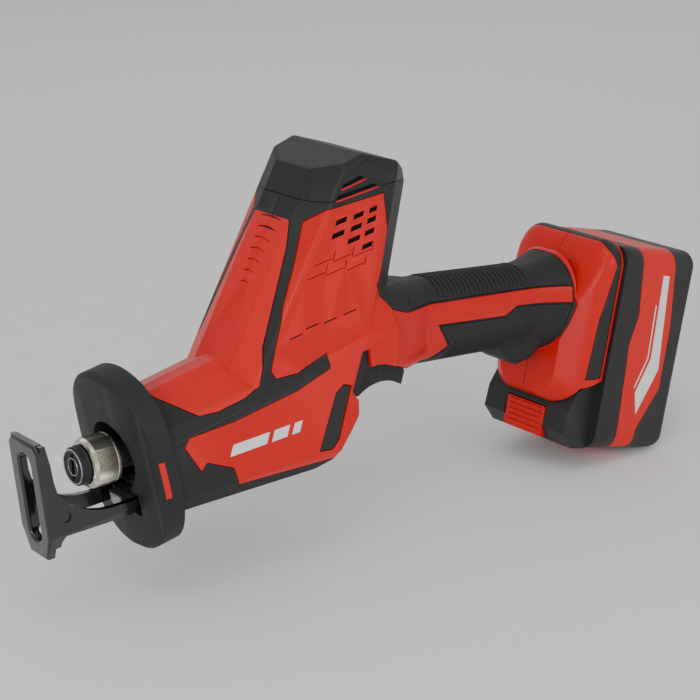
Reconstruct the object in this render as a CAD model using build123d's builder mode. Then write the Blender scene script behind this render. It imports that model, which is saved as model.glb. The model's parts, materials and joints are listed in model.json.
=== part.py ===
from build123d import *
from math import atan2, cos, pi, radians, sin, tan
import os

os.makedirs("parts", exist_ok=True)

# ---------------------------------------------------------------------------
# Frame: origin at the mouth of the blade socket, on the blade's axis.
# The blade points along -X, the battery lies at +X, and +Z is up.
# The saw is symmetric about the plane Y = 0, and its left side is at -Y.
# All sizes are in millimetres.
# ---------------------------------------------------------------------------

# Housing envelope
BODY_HALF = 32.0                 # half width of the lower body
BODY_FLOOR = -25.5               # underside of the lower body
BODY_FRONT = 30.0                # front end of the housing, behind the guard
TOWER_HALF = 29.7                # half width of the motor tower
FRONT_LEAN = 30.8                # the tower's front face leans back, degrees
REAR_LEAN = 14.0                 # the tower's rear face leans back, degrees
TOWER_TOP = 127.3                # highest point of the tower
SKIN = 2.0                       # thickness of the outer panels and overmould
SHELL = 2.2                      # thickness of the inner structural shell
GROOVE = 0.35                    # half of the gap between two outer panels
SEAM = 0.05                      # half of the gap between the two shell halves

# Handle
HANDLE_TILT = 5.7                # the handle drops towards the battery, degrees
HANDLE_HALF = 17.5               # half width of the handle
HANDLE_HEIGHT = 45.0             # height of the handle's section
HANDLE_START = 186.0             # where the handle's constant section begins
HANDLE_AXIS_Z = 28.0             # height of the handle's axis at its start

# Battery interface: a plane that leans back at the top
PACK_LEAN = 14.0                 # lean of the battery, degrees
PACK_X = 314.4                   # X of the interface plane at PACK_Z
PACK_Z = 9.3
PACK_HALF = 37.5                 # half width of the battery pack
PACK_DEPTH = 56.0                # depth of the pack behind the interface
PACK_TOP = 40.0                  # top of the pack, measured along the plane
PACK_BOTTOM = -72.0              # bottom of the pack, measured along the plane
PACK_TRAVEL_GAP = 0.4            # clearance between the pack and the tool

# Drive train
STROKE = 20.0                    # blade stroke
PLUNGER_R = 7.0                  # radius of the plunger
RUNNING = 0.05                   # radial clearance of a running fit
MODULE = 0.9                     # tooth module of the reduction gears
PINION_TEETH = 9
GEAR_TEETH = 51
GEAR_X = 116.0                   # crank gear's axis
GEAR_Z = 13.5                    # underside of the crank gear's rim
GEAR_WIDTH = 7.0
CRANK_PIN_R = 3.0
MOTOR_X = GEAR_X + MODULE * (PINION_TEETH + GEAR_TEETH) / 2
MOTOR_R = 19.0                   # outside radius of the motor can
MOTOR_Z = 34.0                   # underside of the motor can
MOTOR_LENGTH = 50.0

# Blade clamp
CLAMP_R = 9.3                    # front disc of the blade clamp
COLLAR_R = 12.3                  # knurled release collar
COLLAR_START = 8.6
COLLAR_LENGTH = 11.0

# Front guard
GUARD_TILT = 9.7                 # the guard's face leans back at the bottom
GUARD_TOP_X = 17.0               # front of the guard at its top edge
GUARD_TOP_Z = 45.0
GUARD_BULGE = 3.0                # the guard's face bulges forward at its middle
GUARD_OPENING_R = 17.0

# Shoe
SHOE_HALF = 13.2                 # half width of the shoe's front plate
SHOE_TILT = 4.2                  # the shoe's face leans back at the bottom
SHOE_PIVOT = (36.5, -23.0 + 1.2)

# Trigger
TRIGGER_PIVOT = (160.5, 15.5)
TRIGGER_HALF = 11.5


ALONG = Plane.YZ                 # the plunger's planes: local Z is +X


# ---------------------------------------------------------------------------
# Helpers
# ---------------------------------------------------------------------------

def save(piece, name):
    """Label a finished piece and write its STEP file."""
    piece.part.label = name
    export_step(piece.part, f"parts/{name}.step")


def prism(points, half_width, plane=Plane.XZ, inset=0.0):
    """A closed outline in a plane, pulled in by inset and thickened both ways."""
    with BuildPart() as block:
        with BuildSketch(plane):
            with BuildLine():
                Polyline(*points, close=True)
            make_face()
            if inset:
                offset(amount=-inset, kind=Kind.INTERSECTION)
        extrude(amount=half_width, both=True)
    return block.part


def side_prism(points, inner, outer, side, grow=0.0):
    """An outline in the XZ plane, extruded outwards on one side of the saw."""
    with BuildPart() as block:
        with BuildSketch(Plane.XZ.offset(-side * inner)):
            with BuildLine():
                Polyline(*points, close=True)
            make_face()
            if grow:
                offset(amount=grow, kind=Kind.INTERSECTION)
        extrude(amount=-side * (outer - inner))
    return block.part


def upright(x, z):
    """A level plane on the saw's middle plane."""
    return Plane(origin=(x, 0, z), x_dir=(1, 0, 0), z_dir=(0, 0, 1))


def crosswise(x, z, start):
    """A plane whose local Z is +Y, starting at a distance along Y."""
    return Plane(origin=(x, start, z), x_dir=(1, 0, 0), z_dir=(0, 1, 0))


def ring(outer_r, inner_r, length, plane):
    """A plain tube that stands on a plane."""
    with BuildPart() as tube:
        with BuildSketch(plane):
            Circle(outer_r)
            if inner_r:
                Circle(inner_r, mode=Mode.SUBTRACT)
        extrude(amount=length)
    return tube.part


def leaning_plane(x, z, lean):
    """A plane square to a line that leans back by an angle: local X is +X-like."""
    up = (sin(radians(lean)), 0, cos(radians(lean)))
    across = (cos(radians(lean)), 0, -sin(radians(lean)))
    return Plane(origin=(x, 0, z), x_dir=across, z_dir=up)


# The battery's own frame: local X is +Y, local Y is up along the pack, and
# local Z points out of the back of the pack.
PACK_NORMAL = (cos(radians(PACK_LEAN)), 0, -sin(radians(PACK_LEAN)))
PACK_UP = (sin(radians(PACK_LEAN)), 0, cos(radians(PACK_LEAN)))
PACK_PLANE = Plane(origin=(PACK_X, 0, PACK_Z), x_dir=(0, 1, 0), z_dir=PACK_NORMAL)


def pack_side(points):
    """Points (depth, height) in the battery's frame, as world (X, Z) points."""
    return [
        (
            PACK_X + depth * PACK_NORMAL[0] + height * PACK_UP[0],
            PACK_Z + depth * PACK_NORMAL[2] + height * PACK_UP[2],
        )
        for depth, height in points
    ]


# ---------------------------------------------------------------------------
# Housing envelope, built from planar blocks whose edges are rounded
# ---------------------------------------------------------------------------

TOWER_SIDE = [
    (72, 20), (130.4, 120), (152.6, TOWER_TOP), (174, 120), (184, 114), (191.4, 105),
    (180, 59.4), (170, 20),
]
BODY_SIDE = [
    (BODY_FRONT, 46), (172, 46), (168, 14), (150, 6), (139, -10), (129, -22.5),
    (119, BODY_FLOOR), (BODY_FRONT, BODY_FLOOR),
]
ROOF_TILT = 11.0                 # the neck's ridge climbs towards the tower
ROOF_Z = 26.0                    # height of the ridge at the front of the body


def tower_block(inset):
    """The octagonal motor tower: a side outline cut by two leaning wedges."""
    front = leaning_plane(122.3, 104.8, FRONT_LEAN)
    rear = leaning_plane(187.0, 85.0, REAR_LEAN)
    front_wedge = [(0, -13.7), (0, 13.7), (7.5, TOWER_HALF), (130, TOWER_HALF),
                   (130, -TOWER_HALF), (7.5, -TOWER_HALF)]
    rear_wedge = [(0, -11), (0, 11), (-22, TOWER_HALF), (-130, TOWER_HALF),
                  (-130, -TOWER_HALF), (-22, -TOWER_HALF)]
    with BuildPart() as tower:
        add(prism(TOWER_SIDE, TOWER_HALF, inset=inset))
        add(prism(front_wedge, 160, plane=front, inset=inset), mode=Mode.INTERSECT)
        add(prism(rear_wedge, 160, plane=rear, inset=inset), mode=Mode.INTERSECT)
        if not inset:
            fillet(tower.edges(), radius=3.0)
    return tower.part


def body_block(inset):
    """The gear housing: a roofed neck with chamfered lower corners."""
    along = (cos(radians(ROOF_TILT)), 0, sin(radians(ROOF_TILT)))
    roof_plane = Plane(origin=(BODY_FRONT, 0, ROOF_Z), x_dir=(0, 1, 0), z_dir=along)
    # Local Y of this plane points down, because X cross Z gives it.
    sign = 1 if roof_plane.y_dir.Z > 0 else -1
    roof = [(-4, 0), (4, 0), (28, -9.5 * sign), (BODY_HALF, -16 * sign), (BODY_HALF, -120 * sign),
            (-BODY_HALF, -120 * sign), (-BODY_HALF, -16 * sign), (-28, -9.5 * sign)]
    floor = [(-27, BODY_FLOOR), (27, BODY_FLOOR), (BODY_HALF, -17), (BODY_HALF, 120),
             (-BODY_HALF, 120), (-BODY_HALF, -17)]
    with BuildPart() as body:
        add(prism(BODY_SIDE, BODY_HALF, inset=inset))
        add(prism(roof, 260, plane=roof_plane, inset=inset), mode=Mode.INTERSECT)
        add(prism(floor, 300, plane=Plane.YZ, inset=inset), mode=Mode.INTERSECT)
        if not inset:
            behind_front = body.edges().filter_by(lambda edge: edge.center().X > BODY_FRONT + 0.5)
            fillet(behind_front, radius=2.5)
    return body.part


def rounded_section(plane, width, height, radius):
    """One rounded cross-section of the handle."""
    with BuildSketch(plane) as section:
        RectangleRounded(width, height, radius)
    return section.sketch


def handle_plane(x):
    """The plane square to the handle's axis at a distance along X."""
    drop = tan(radians(HANDLE_TILT)) * (x - HANDLE_START)
    along = (cos(radians(HANDLE_TILT)), 0, -sin(radians(HANDLE_TILT)))
    return Plane(origin=(x, 0, HANDLE_AXIS_Z - drop), x_dir=(0, 1, 0), z_dir=along)


# A horn under the rear of the handle keeps the hand off the battery
HORN = [
    (246, 12), (252.6, 3), (257, -4.5), (264, -9.5), (274, -8), (283, -2), (290, 8), (294, 20), (294, 30),
    (246, 30),
]


def horn_block(inset):
    """The horn under the handle, rounded on both sides."""
    with BuildPart() as horn:
        add(prism(HORN, HANDLE_HALF - 1.5 - inset, inset=inset))
        if not inset:
            low_sides = horn.edges().filter_by(
                lambda edge: abs(edge.center().Y) > 10 and edge.center().Z < 15 and edge.center().X < 291
            )
            fillet(low_sides, radius=5.0)
    return horn.part


def handle_block(inset):
    """The web behind the tower, the handle and the flare in front of the battery."""
    w = 2 * (HANDLE_HALF - inset)
    h = HANDLE_HEIGHT - 2 * inset
    r = HANDLE_HALF - inset - 1.5
    root = Plane(origin=(150, 0, 31), x_dir=(0, 1, 0), z_dir=(1, 0, 0))
    with BuildPart() as handle:
        loft(sections=[
            rounded_section(root, 2 * (TOWER_HALF - 0.7 - inset), 54 - 2 * inset, 9 - inset),
            rounded_section(handle_plane(172), 2 * (26.5 - inset), 50 - 2 * inset, 14 - inset),
            rounded_section(handle_plane(200), w + 1, h, r),
        ])
        loft(sections=[
            rounded_section(handle_plane(200), w + 1, h, r),
            rounded_section(handle_plane(232), w, h - 0.5, r),
            rounded_section(handle_plane(268), w, h - 1, r),
        ])
        loft(sections=[
            rounded_section(handle_plane(268), w, h - 1, r),
            rounded_section(handle_plane(284), w + 3, h + 3, r),
            rounded_section(handle_plane(297), w + 12, h + 12, r + 3),
        ])
        add(horn_block(inset))
    return handle.part


# Depth, width, lowest and highest point of the base's sections, along the pack
BASE_SECTIONS = [
    (-1.8, 71, -49.5, 41.5),
    (-8, 70, -49.5, 41.5),
    (-16, 60, -49.5, 28),
    (-23, 42, -46, 12),
]
# The battery's dark cheeks cut this corner off the base
CHEEK_CUT = [(3, -32), (-13, -38.5), (-18.5, -51), (-40, -51), (-40, -90), (3, -90)]


def base_section(depth, width, low, high, radius):
    """A rounded section of the base, square to the pack's sliding face."""
    plane = PACK_PLANE.offset(depth)
    with BuildSketch(plane) as section:
        with Locations((0, (low + high) / 2)):
            RectangleRounded(width, high - low, radius)
    return section.sketch


def base_block(inset):
    """The flared foot of the handle that carries the battery rails."""
    with BuildPart() as base:
        loft(sections=[
            base_section(
                depth + (inset if depth < -20 else 0),
                width - 2 * inset,
                low + inset,
                high - inset,
                13 - inset,
            )
            for depth, width, low, high in BASE_SECTIONS
        ])
        add(prism(pack_side(CHEEK_CUT), 60, inset=-inset), mode=Mode.SUBTRACT)
    return base.part


def envelope(inset):
    """The whole housing, pulled in by an inset."""
    with BuildPart() as whole:
        add(body_block(inset))
        add(tower_block(inset))
        add(handle_block(inset))
        add(base_block(inset))
    return whole.part


outer_form = envelope(0)
middle_form = envelope(SKIN)
inner_form = envelope(SKIN + SHELL)


# ---------------------------------------------------------------------------
# Openings in the housing
# ---------------------------------------------------------------------------

def pack_box(width, depth_range, height_range):
    """A block in the battery's frame."""
    low, high = depth_range
    bottom, top = height_range
    with BuildPart() as block:
        with BuildSketch(PACK_PLANE.offset(low)):
            with Locations((0, (bottom + top) / 2)):
                Rectangle(width, top - bottom)
        extrude(amount=high - low)
    return block.part


# The side walls are cut away above the trigger's lever
TRIGGER_SLOT = [
    (143, -30), (143, 8.2), (147.9, 17.5), (150.5, 20.2), (155, 21), (160, 20.2), (167, 17.4), (176, 13),
    (184, 9.6), (190.5, 5), (192, -30),
]
TRIGGER_SPACE = [(154.5, -8), (192, -8), (192, 24), (154.5, 24)]
ARM_LOW = -28.4                  # the bay for the shoe's arms, with room to tilt
ARM_HIGH = -16.6
LOCK_PAD = [(129.5, 13.0), (134.0, 16.0), (138.4, 14.4), (130.0, -11.5), (126.0, -15.2), (118.5, -14.4)]
LOCK_X = 124.2
LOCK_Z = -12.7
LOCK_BAR_R = 1.6
SCREWS = [(60, -17.2), (104, -17.2), (109, 62), (152, 111), (174, 96), (206, 39), (262, 33.5)]
BOSS_R = 3.9
SCREW_R = 1.75


def housing_cuts():
    """Everything that is cut out of both the outer panels and the inner shell."""
    with BuildPart() as cuts:
        add(ring(GUARD_OPENING_R, 0, 24, Plane.YZ.offset(BODY_FRONT - 8)))
        add(prism(TRIGGER_SPACE, TRIGGER_HALF + 0.6))
        arm_bay = [(BODY_FRONT - 6, ARM_LOW), (44, ARM_LOW), (44, ARM_HIGH), (BODY_FRONT - 6, ARM_HIGH)]
        add(prism(arm_bay, 14.2))
        for side in (-1, 1):
            add(side_prism(TRIGGER_SLOT, TRIGGER_HALF + 0.6, 40, side))
            add(side_prism(LOCK_PAD, BODY_HALF - 3.4, BODY_HALF + 5, side, grow=0.45))
        add(ring(LOCK_BAR_R + 0.3, 0, 58, crosswise(LOCK_X, LOCK_Z, -29)))
        add(pack_box(47, (-11, 1), (-70, 27)))
    return cuts.part


def screw_shapes(clearance):
    """Housing screws, driven in from the right side, with a chosen clearance."""
    with BuildPart() as screws:
        for x, z in SCREWS:
            half = half_width_at(x, z)
            add(ring(3.1 + clearance, 0, 2.2 + 20 * clearance, crosswise(x, z, half - 6.0)))
            add(ring(SCREW_R + clearance, 0, half + 2 + clearance, crosswise(x, z, -8 - clearance)))
    return screws.part


def half_width_at(x, z):
    """Half width of the housing where a screw sits."""
    if x > HANDLE_START:
        return HANDLE_HALF
    return TOWER_HALF if z > 30 else BODY_HALF


CASE_TOP = 24.0                  # top of the gearcase
CASE_FLOOR = 10.0                # underside of the gear and pinion chambers
CASE_HALF = 21.5
PINION_CASE_R = 12.0
CASE_SIDE = [(60, -10.4), (134, -10.4), (138, -6), (138, 12), (60, 12)]
CASE_GAP = 0.25                  # room between the gearcase and the inner shell


def gearcase_rear(gap):
    """The gearcase's yoke chamber and pinion chamber, with a chosen gap around them."""
    with BuildPart() as rear:
        add(prism(CASE_SIDE, CASE_HALF + gap, inset=-gap))
        add(ring(PINION_CASE_R + gap, 0, CASE_TOP - CASE_FLOOR + 2 * gap, upright(MOTOR_X, CASE_FLOOR - gap)))
    return rear.part


cuts = housing_cuts()
screw_room = screw_shapes(0.3)
case_room = gearcase_rear(CASE_GAP)

# ---------------------------------------------------------------------------
# Outer panels: zones of the outer skin, each a separate moulding
# ---------------------------------------------------------------------------

SIDE_PANEL = [
    (130, 104), (163.5, 106.5), (165.5, 87), (162, 66.5), (158, 61), (170, 45.5), (181, 41), (296.5, 30),
    (296.5, 20.6), (261, 25.2), (253, 21.4), (207, 26.6), (213.5, 14), (203, 8.4), (196, 8.6), (190.5, 4),
    (184, 9.6), (176, 13), (167, 17.4), (160, 20.2), (155, 21), (151.3, 20.8), (150.3, 30.2), (146.4, 30.0),
    (139.6, 11.3), (142.2, 7.0), (150, 4), (139, -10), (130, -21.5), (70.5, -19.0), (67.5, -9.5), (53, -3.0), (49.5, -6.5), (41, 7.5), (43.5, 12),
    (70.5, 14), (106, 20), (126, 26.5), (126, 33.5), (108, 27.5), (95.5, 27.5), (92.8, 32), (96.3, 44.6),
    (102.9, 60.4), (111.9, 78), (121.6, 98),
]
FRONT_PANEL = [
    (122.5, 107), (113.5, 86), (92, 43), (86, 26), (78, 22.5), (62, 19.5), (52, 19.5), (41, 26), (34, 36),
    (34, 60), (100, 118),
]
CAP_ZONE = [(100, 112), (127, 106.5), (170, 110.5), (186, 106), (215, 106), (215, 140), (100, 140)]
TOP_GRIP = [(184, 70), (184, 41.2), (296.5, 30.2), (296.5, 70)]
LOWER_GRIP = [
    (296, 20.2), (261, 24.8), (253, 21.0), (207.5, 26.1), (214.1, 14), (203.3, 8), (203.3, -20), (268, -20),
    (277, -10), (285.5, -1.5), (291.5, 9),
]
BASE_ZONE = [
    (297, 75), (297, 20), (292.5, 9), (286.5, -2), (278, -11), (269, -20), (269, -60), (340, -60), (340, 75),
]
BASE_TRIM = [(3, 60), (-9, 60), (-9, 38), (-5, 30), (-10, 0), (-11.5, -33.5), (3, -31)]

with BuildPart() as skin:
    add(outer_form)
    add(middle_form, mode=Mode.SUBTRACT)
    add(cuts, mode=Mode.SUBTRACT)
    add(screw_room, mode=Mode.SUBTRACT)
skin_form = skin.part


def zone_panel(zone, name):
    """One panel of the skin inside a zone."""
    with BuildPart() as panel:
        add(skin_form)
        add(zone, mode=Mode.INTERSECT)
    save(panel, name)
    return panel.part


TOWER_REACH = 45                 # wider than any half width of the housing
EVERYTHING = [(-50, -90), (400, -90), (400, 200), (-50, 200)]
both_sides = {
    "tower_cap": CAP_ZONE,
    "front_panel": FRONT_PANEL,
    "top_grip": TOP_GRIP,
    "lower_grip": LOWER_GRIP,
}
used_zones = []
for zone_name, zone_outline in both_sides.items():
    zone_panel(prism(zone_outline, TOWER_REACH, inset=GROOVE), zone_name)
    used_zones.append(prism(zone_outline, TOWER_REACH, inset=-0.01))

trim_zone = prism(pack_side(BASE_TRIM), TOWER_REACH, inset=GROOVE)
zone_panel(trim_zone, "base_trim")
used_zones.append(prism(pack_side(BASE_TRIM), TOWER_REACH, inset=-0.01))

for side, side_name in ((-1, "left"), (1, "right")):
    zone_panel(side_prism(SIDE_PANEL, 4, TOWER_REACH, side, grow=-GROOVE), f"side_panel_{side_name}")
    used_zones.append(side_prism(SIDE_PANEL, 4, TOWER_REACH, side, grow=0.01))

    with BuildPart() as base_side:
        add(side_prism(BASE_ZONE, 0.2, TOWER_REACH, side, grow=-GROOVE))
        add(prism(pack_side(BASE_TRIM), TOWER_REACH), mode=Mode.SUBTRACT)
    zone_panel(base_side.part, f"base_panel_{side_name}")
used_zones.append(prism(BASE_ZONE, TOWER_REACH))

for side, side_name in ((-1, "left"), (1, "right")):
    with BuildPart() as frame:
        add(skin_form)
        for zone in used_zones:
            add(zone, mode=Mode.SUBTRACT)
        add(side_prism(EVERYTHING, 0.2, TOWER_REACH, side),
            mode=Mode.INTERSECT)
    biggest = frame.part.solids().sort_by(SortBy.VOLUME)[-1].volume
    with BuildPart() as frame_clean:
        for solid in frame.part.solids():
            if solid.volume > 0.02 * biggest:
                add(solid)
    save(frame_clean, f"overmould_{side_name}")

# ---------------------------------------------------------------------------
# Structural shell in two halves, with screw bosses
# ---------------------------------------------------------------------------

for side, side_name in ((-1, "left"), (1, "right")):
    with BuildPart() as shell:
        add(middle_form)
        add(inner_form, mode=Mode.SUBTRACT)
        for x, z in SCREWS:
            boss_plane = Plane(origin=(x, side * SEAM, z), x_dir=(1, 0, 0), z_dir=(0, side, 0))
            add(ring(BOSS_R, 0, half_width_at(x, z) - SKIN - 0.8, boss_plane))
        add(middle_form, mode=Mode.INTERSECT)
        add(side_prism(EVERYTHING, SEAM, TOWER_REACH, side),
            mode=Mode.INTERSECT)
        add(cuts, mode=Mode.SUBTRACT)
        add(screw_room, mode=Mode.SUBTRACT)
        add(case_room, mode=Mode.SUBTRACT)
    save(shell, f"housing_{side_name}")

with BuildPart() as screws:
    add(screw_shapes(0))
save(screws, "housing_screws")

# ---------------------------------------------------------------------------
# Front guard, an oval plate that bulges forward and hugs the housing
# ---------------------------------------------------------------------------

# Right half of the guard's outline, from the top down its face
GUARD_EDGE = [(0, -4), (11, -5.4), (20.5, -9.4), (27.8, -16.5), (32.2, -26), (34, -40), (34.2, -56),
              (31.5, -72), (25, -84), (14, -92), (0, -95)]
GUARD_OUTLINE = GUARD_EDGE + [(-across, down) for across, down in reversed(GUARD_EDGE[1:-1])]
GUARD_THICKNESS = 10.5
guard_back = (cos(radians(GUARD_TILT)), 0, sin(radians(GUARD_TILT)))
guard_up = (-sin(radians(GUARD_TILT)), 0, cos(radians(GUARD_TILT)))
# Local Y runs up the guard's face.
guard_plane = Plane(origin=(GUARD_TOP_X, 0, GUARD_TOP_Z), x_dir=(0, 1, 0), z_dir=guard_back)

with BuildPart() as guard_blank:
    with BuildSketch(guard_plane.offset(-GUARD_BULGE)):
        with BuildLine():
            Spline(*GUARD_OUTLINE, periodic=True)
        make_face()
    extrude(amount=GUARD_THICKNESS + GUARD_BULGE)
    chamfer(guard_blank.faces().sort_by(Axis(guard_plane.origin, guard_back))[0].edges(), length=2.4)

bulge_radius = 34.2**2 / (2 * GUARD_BULGE) + GUARD_BULGE / 2
bulge_axis = guard_plane.offset(bulge_radius - GUARD_BULGE)
with BuildPart() as guard:
    add(guard_blank.part)
    with BuildSketch(Plane(origin=bulge_axis.origin, x_dir=(0, 1, 0), z_dir=guard_up).offset(-130)):
        Circle(bulge_radius)
    extrude(amount=260, mode=Mode.INTERSECT)
    add(ring(GUARD_OPENING_R, 0, 60, Plane.YZ), mode=Mode.SUBTRACT)
    for side in (-1, 1):
        slot = [(0, ARM_LOW), (60, ARM_LOW), (60, ARM_HIGH), (0, ARM_HIGH)]
        add(side_prism(slot, 9.0, 14.2, side), mode=Mode.SUBTRACT)
    lip = [(0, -14), (60, -14), (60, -18.5), (0, -18.5)]
    add(prism(lip, 9.5), mode=Mode.SUBTRACT)
    add(outer_form, mode=Mode.SUBTRACT)

# Coloured inlay on each side of the guard's rim
INLAY = [(25.2, 4.8), (28.4, 4.8), (31.6, -13.6), (28.4, -13.6)]
with BuildPart() as guard_inlays:
    add(side_prism(INLAY, 32.8, 40, -1))
    add(side_prism(INLAY, 32.8, 40, 1))
    add(guard.part, mode=Mode.INTERSECT)
save(guard_inlays, "guard_inlays")

with BuildPart() as guard_finished:
    add(guard.part)
    add(guard_inlays.part, mode=Mode.SUBTRACT)
save(guard_finished, "front_guard")

# Work light below the clamp: a holder on the guard's lip and a clear lens
LIGHT_Z = -22.5
with BuildPart() as lamp_holder:
    add(prism([(21.2, LIGHT_Z + 3.6), (32, LIGHT_Z + 3.6), (32, LIGHT_Z - 3.6), (22.6, LIGHT_Z - 3.6)], 5.5))
    add(prism([(19, LIGHT_Z + 2.6), (28, LIGHT_Z + 2.6), (28, LIGHT_Z - 2.6), (19, LIGHT_Z - 2.6)], 4.5),
        mode=Mode.SUBTRACT)
    add(guard_finished.part, mode=Mode.SUBTRACT)
    add(outer_form, mode=Mode.SUBTRACT)
    holder_solid = lamp_holder.part.solids().sort_by(SortBy.VOLUME)[-1]
with BuildPart() as led_holder:
    add(holder_solid)
save(led_holder, "led_holder")

with BuildPart() as led_lens:
    add(prism([(20.6, LIGHT_Z + 2.6), (24.6, LIGHT_Z + 2.6), (24.6, LIGHT_Z - 2.6), (21.4, LIGHT_Z - 2.6)], 4.5))
    fillet(led_lens.faces().sort_by(Axis.X)[0].edges(), radius=0.8)
save(led_lens, "led_lens")

# ---------------------------------------------------------------------------
# Shoe: a cast U whose two arms pivot on a pin inside the guard
# ---------------------------------------------------------------------------

PIVOT_X, PIVOT_Z = SHOE_PIVOT
ARM_THICKNESS = 3.2
SHOE_PIN_R = 2.0
CHEEK_SIDE = [
    (-23.6, 19.5), (-20.8, 19.5), (-18.6, 9.5), (-17.6, 1.5), (-16.2, -4.3), (-13.1, -8.6), (-9.2, -12.2),
    (-4.5, -15.2), (0.5, -17.4), (6, -18.8), (12, -19.3), (20, -19.2), (PIVOT_X, PIVOT_Z + 3.6),
    (PIVOT_X, PIVOT_Z - 3.6), (14, -26.8), (-13, -26.8), (-14.6, -29.5), (-15, -37.2), (-19.0, -38.0),
]
SHOE_TOP_Z = 19.6
SHOE_LENGTH = 58.2
SHOE_PLATE = 4.4                 # thickness of the shoe's front plate
shoe_normal = (-cos(radians(SHOE_TILT)), 0, -sin(radians(SHOE_TILT)))
shoe_plane = Plane(origin=(-25.6, 0, SHOE_TOP_Z), x_dir=(0, -1, 0), z_dir=shoe_normal)
SLOT_HALF = 5.2

with BuildPart() as shoe_front:
    # Front plate, narrowed towards its foot, with a long slot for the blade
    with BuildSketch(shoe_plane.offset(-SHOE_PLATE)):
        with BuildLine():
            Polyline(
                (-SHOE_HALF + 3, 0), (-SHOE_HALF, -3), (-SHOE_HALF, -46), (-7.5, -SHOE_LENGTH),
                (7.5, -SHOE_LENGTH), (SHOE_HALF, -46), (SHOE_HALF, -3), (SHOE_HALF - 3, 0), close=True,
            )
        make_face()
        with Locations((0, -28.2)):
            SlotOverall(44, 2 * SLOT_HALF, rotation=90, mode=Mode.SUBTRACT)
    extrude(amount=SHOE_PLATE)
    front_face = shoe_front.faces().sort_by(Axis(shoe_plane.origin, shoe_normal))[-1]
    fillet(front_face.edges(), radius=1.5)

with BuildPart() as shoe:
    add(shoe_front.part)
    # Side cheeks and arms
    for side in (-1, 1):
        add(side_prism(CHEEK_SIDE, SHOE_HALF - ARM_THICKNESS, SHOE_HALF, side))
        tip_plane = Plane(origin=(PIVOT_X, side * (SHOE_HALF - ARM_THICKNESS), PIVOT_Z), x_dir=(1, 0, 0),
                          z_dir=(0, side, 0))
        add(ring(3.6, 0, ARM_THICKNESS, tip_plane))
    # The cheeks follow the plate's outline
    trim = [(-SHOE_HALF, 2), (SHOE_HALF, 2), (SHOE_HALF, -46), (7.5, -SHOE_LENGTH), (-7.5, -SHOE_LENGTH),
            (-SHOE_HALF, -46)]
    with BuildSketch(shoe_plane.offset(2)):
        with BuildLine():
            Polyline(*trim, close=True)
        make_face()
    extrude(amount=-90, mode=Mode.INTERSECT)
    # Round dimples in both cheeks and the pivot bore
    for side in (-1, 1):
        dimple_plane = Plane(origin=(-12.6, side * (SHOE_HALF + 1), -17.4), x_dir=(1, 0, 0), z_dir=(0, -side, 0))
        add(ring(2.6, 0, 1.9, dimple_plane), mode=Mode.SUBTRACT)
    add(ring(SHOE_PIN_R + RUNNING, 0, 60, crosswise(PIVOT_X, PIVOT_Z, -30)), mode=Mode.SUBTRACT)
save(shoe, "shoe")

with BuildPart() as pivot_pin:
    add(ring(SHOE_PIN_R, 0, 27.2, crosswise(PIVOT_X, PIVOT_Z, -13.6)))
    chamfer(pivot_pin.edges().filter_by(GeomType.CIRCLE), length=0.4)
save(pivot_pin, "shoe_pivot_pin")

# ---------------------------------------------------------------------------
# Plunger, scotch yoke and blade clamp, all on the blade's axis
# ---------------------------------------------------------------------------

YOKE_HALF_X = 7.0
YOKE_TOP = 7.0
CRANK_R = STROKE / 2
ROD_START = 20.5
SOCKET_DEPTH = 18.0

with BuildPart() as rod:
    add(ring(PLUNGER_R, 0, GEAR_X - YOKE_HALF_X - ROD_START, ALONG.offset(ROD_START)))
    chamfer(rod.edges().filter_by(GeomType.CIRCLE), length=0.5)
save(rod, "plunger_rod")

with BuildPart() as yoke:
    with BuildSketch(Plane.XY.offset(-YOKE_TOP)):
        with Locations((GEAR_X, 0)):
            RectangleRounded(2 * YOKE_HALF_X, 2 * (CRANK_R + CRANK_PIN_R + 4), 2)
            SlotOverall(2 * (CRANK_R + CRANK_PIN_R + 0.6), 2 * (CRANK_PIN_R + 0.1), rotation=90,
                        mode=Mode.SUBTRACT)
    extrude(amount=2 * YOKE_TOP)
save(yoke, "scotch_yoke")

with BuildPart() as clamp:
    add(ring(CLAMP_R, 0, 3.0, ALONG))
    add(ring(7.5, 0, ROD_START - 3.0, ALONG.offset(3.0)))
    chamfer(clamp.faces().sort_by(Axis.X)[0].edges(), length=0.8)
    with BuildSketch(ALONG):
        SlotOverall(13.0, 2.4, rotation=90)
    extrude(amount=SOCKET_DEPTH, mode=Mode.SUBTRACT)
save(clamp, "blade_clamp")

with BuildPart() as clamp_ring:
    add(ring(9.6, 7.5, 1.4, ALONG.offset(3.2)))
    chamfer(clamp_ring.edges().filter_by(GeomType.CIRCLE).sort_by(SortBy.RADIUS)[-2:], length=0.4)
save(clamp_ring, "clamp_ring")

with BuildPart() as collar:
    with BuildSketch(Plane.XZ):
        with BuildLine():
            Polyline(
                (5.0, 7.5 + RUNNING), (5.0, 10.2), (5.8, 11.6), (7.0, COLLAR_R),
                (COLLAR_START + COLLAR_LENGTH - 0.6, COLLAR_R), (COLLAR_START + COLLAR_LENGTH, COLLAR_R - 0.6),
                (COLLAR_START + COLLAR_LENGTH, 10.2), (COLLAR_START, 10.2), (COLLAR_START, 7.5 + RUNNING),
                close=True,
            )
        make_face()
    revolve(axis=Axis.X)
save(collar, "release_collar")

SPRING_WIRE = 0.55               # radius of the collar spring's wire
with BuildPart() as collar_spring:
    with BuildLine() as coil:
        Helix(pitch=2.6, height=7.8, radius=8.8, center=(COLLAR_START + 1.2, 0, 0), direction=(1, 0, 0))
    with BuildSketch(coil.line ^ 0):
        Circle(SPRING_WIRE)
    sweep(is_frenet=True)
save(collar_spring, "collar_spring")

# ---------------------------------------------------------------------------
# Gearcase, bushings and seal
# ---------------------------------------------------------------------------

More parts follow.
